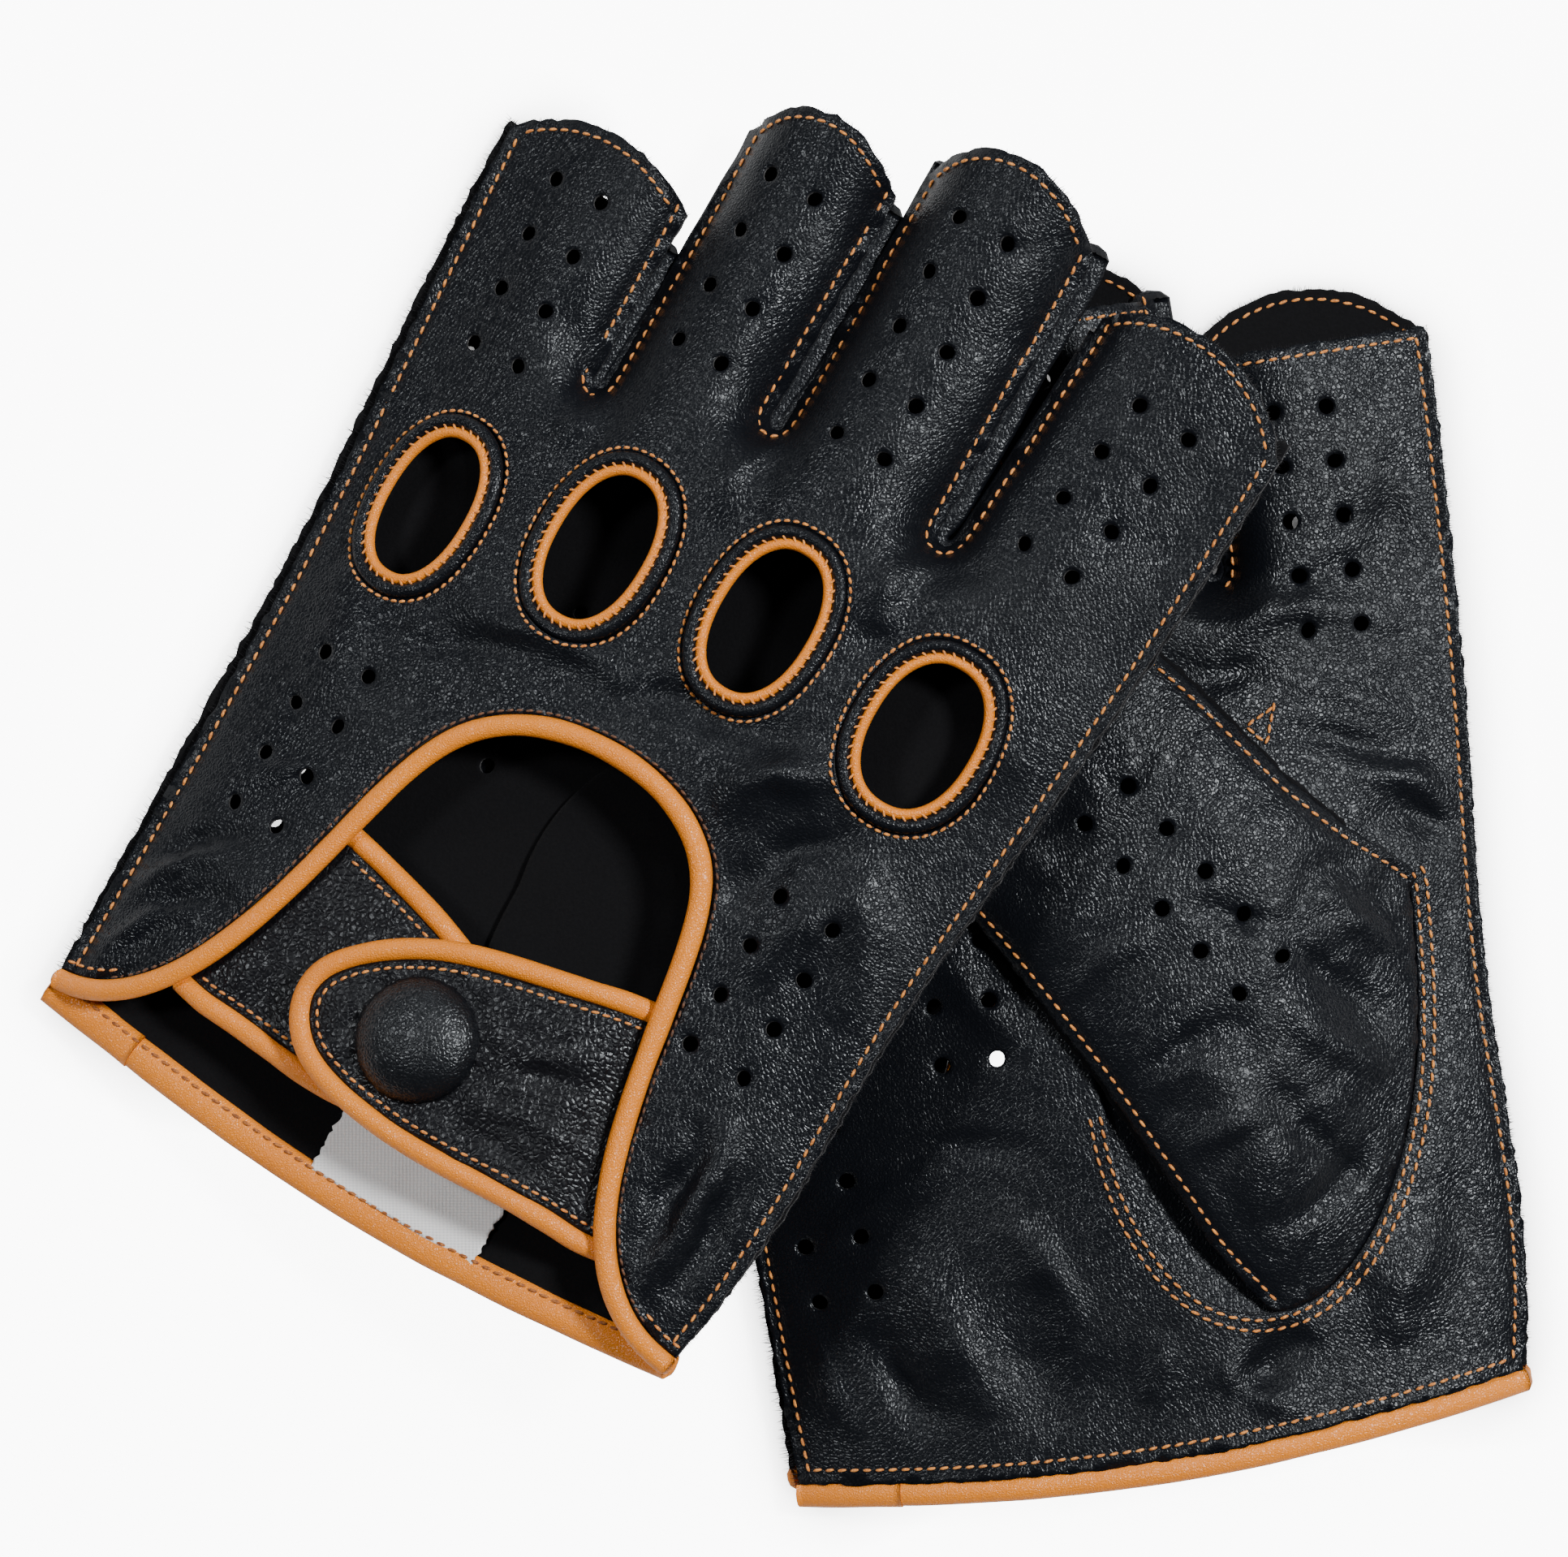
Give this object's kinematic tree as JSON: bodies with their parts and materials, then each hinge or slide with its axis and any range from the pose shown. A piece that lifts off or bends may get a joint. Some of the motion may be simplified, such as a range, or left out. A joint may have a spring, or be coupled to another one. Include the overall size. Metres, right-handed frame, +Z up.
{
  "type": "fingerless leather driving gloves",
  "caption": "Pair of short fingerless driving gloves in pebbled leather with tan piping, knuckle holes, ventilation holes and a snap strap over an open back, lying one on the other.",
  "frame": {"origin": "centre of the pair's footprint, on the surface it lies on", "axes": "+Z up from the surface; +Y away from the cuffs, along the right glove's fingers to within 9 degrees; +X to the right glove's side"},
  "size_m": [0.184, 0.1728, 0.0304],
  "materials": {
    "black_leather": "pebbled satin",
    "coarse_leather": "coarse pebbled satin",
    "tan_leather": "smooth satin",
    "thread": "twisted thread",
    "satin": "satin weave",
    "snap_metal": "antique brass"
  },
  "bodies": {
    "left_glove": {"left_back_panel": "black_leather", "left_palm_panel": "black_leather", "left_thumb_gusset": "black_leather", "left_fourchette_little_ring": "black_leather", "left_fourchette_ring_middle": "black_leather", "left_fourchette_middle_index": "black_leather", "left_knuckle_collars": "black_leather", "left_knuckle_pipings": "tan_leather", "left_opening_piping": "tan_leather", "left_cuff_piping": "tan_leather", "left_under_tab_outer": "coarse_leather", "left_under_tab_lining": "black_leather", "left_under_tab_piping": "tan_leather", "left_snap_stud": "snap_metal", "left_snap_post": "snap_metal", "left_label": "satin", "left_back_thread": "thread", "left_palm_thread": "thread", "left_under_tab_thread": "thread"},
    "left_strap": {"left_strap_outer": "coarse_leather", "left_strap_lining": "black_leather", "left_strap_piping": "tan_leather", "left_snap_cap": "black_leather", "left_snap_socket": "snap_metal", "left_strap_thread": "thread"},
    "left_thumb": {"left_thumb_front": "black_leather", "left_thumb_back": "black_leather", "left_thumb_thread": "thread"},
    "right_glove": {"right_back_panel": "black_leather", "right_palm_panel": "black_leather", "right_thumb_gusset": "black_leather", "right_fourchette_little_ring": "black_leather", "right_fourchette_ring_middle": "black_leather", "right_fourchette_middle_index": "black_leather", "right_knuckle_collars": "black_leather", "right_knuckle_pipings": "tan_leather", "right_opening_piping": "tan_leather", "right_cuff_piping": "tan_leather", "right_under_tab_outer": "coarse_leather", "right_under_tab_lining": "black_leather", "right_under_tab_piping": "tan_leather", "right_snap_stud": "snap_metal", "right_snap_post": "snap_metal", "right_label": "satin", "right_back_thread": "thread", "right_palm_thread": "thread", "right_under_tab_thread": "thread"},
    "right_strap": {"right_strap_outer": "coarse_leather", "right_strap_lining": "black_leather", "right_strap_piping": "tan_leather", "right_snap_cap": "black_leather", "right_snap_socket": "snap_metal", "right_strap_thread": "thread"},
    "right_thumb": {"right_thumb_front": "black_leather", "right_thumb_back": "black_leather", "right_thumb_thread": "thread"}
  },
  "joints": [
    {"name": "left_strap_hinge", "type": "hinge", "parent": "left_glove", "child": "left_strap", "pos_m": [-0.0237, -0.03759, 0.02884], "axis": [0.2084, 0.9774, -0.0362], "range_deg": [0, 120]},
    {"name": "left_thumb_swing", "type": "hinge", "parent": "left_glove", "child": "left_thumb", "pos_m": [-0.01106, -0.02346, 0.01938], "axis": [-0.2139, 0.1268, 0.9686], "range_deg": [-22, 0]},
    {"name": "right_strap_hinge", "type": "hinge", "parent": "right_glove", "child": "right_strap", "pos_m": [0.06647, -0.05267, 0.0029], "axis": [0.4626, -0.8866, 0], "range_deg": [0, 120]},
    {"name": "right_thumb_swing", "type": "hinge", "parent": "right_glove", "child": "right_thumb", "pos_m": [0.06473, -0.03411, 0.01122], "axis": [0.046, 0.0073, 0.9989], "range_deg": [-22, 0]},
    {"name": "left_glove_lift", "type": "slide", "parent": "right_glove", "child": "left_glove", "axis": [0, 0, 1], "range_m": [0, 0.15]}
  ]
}
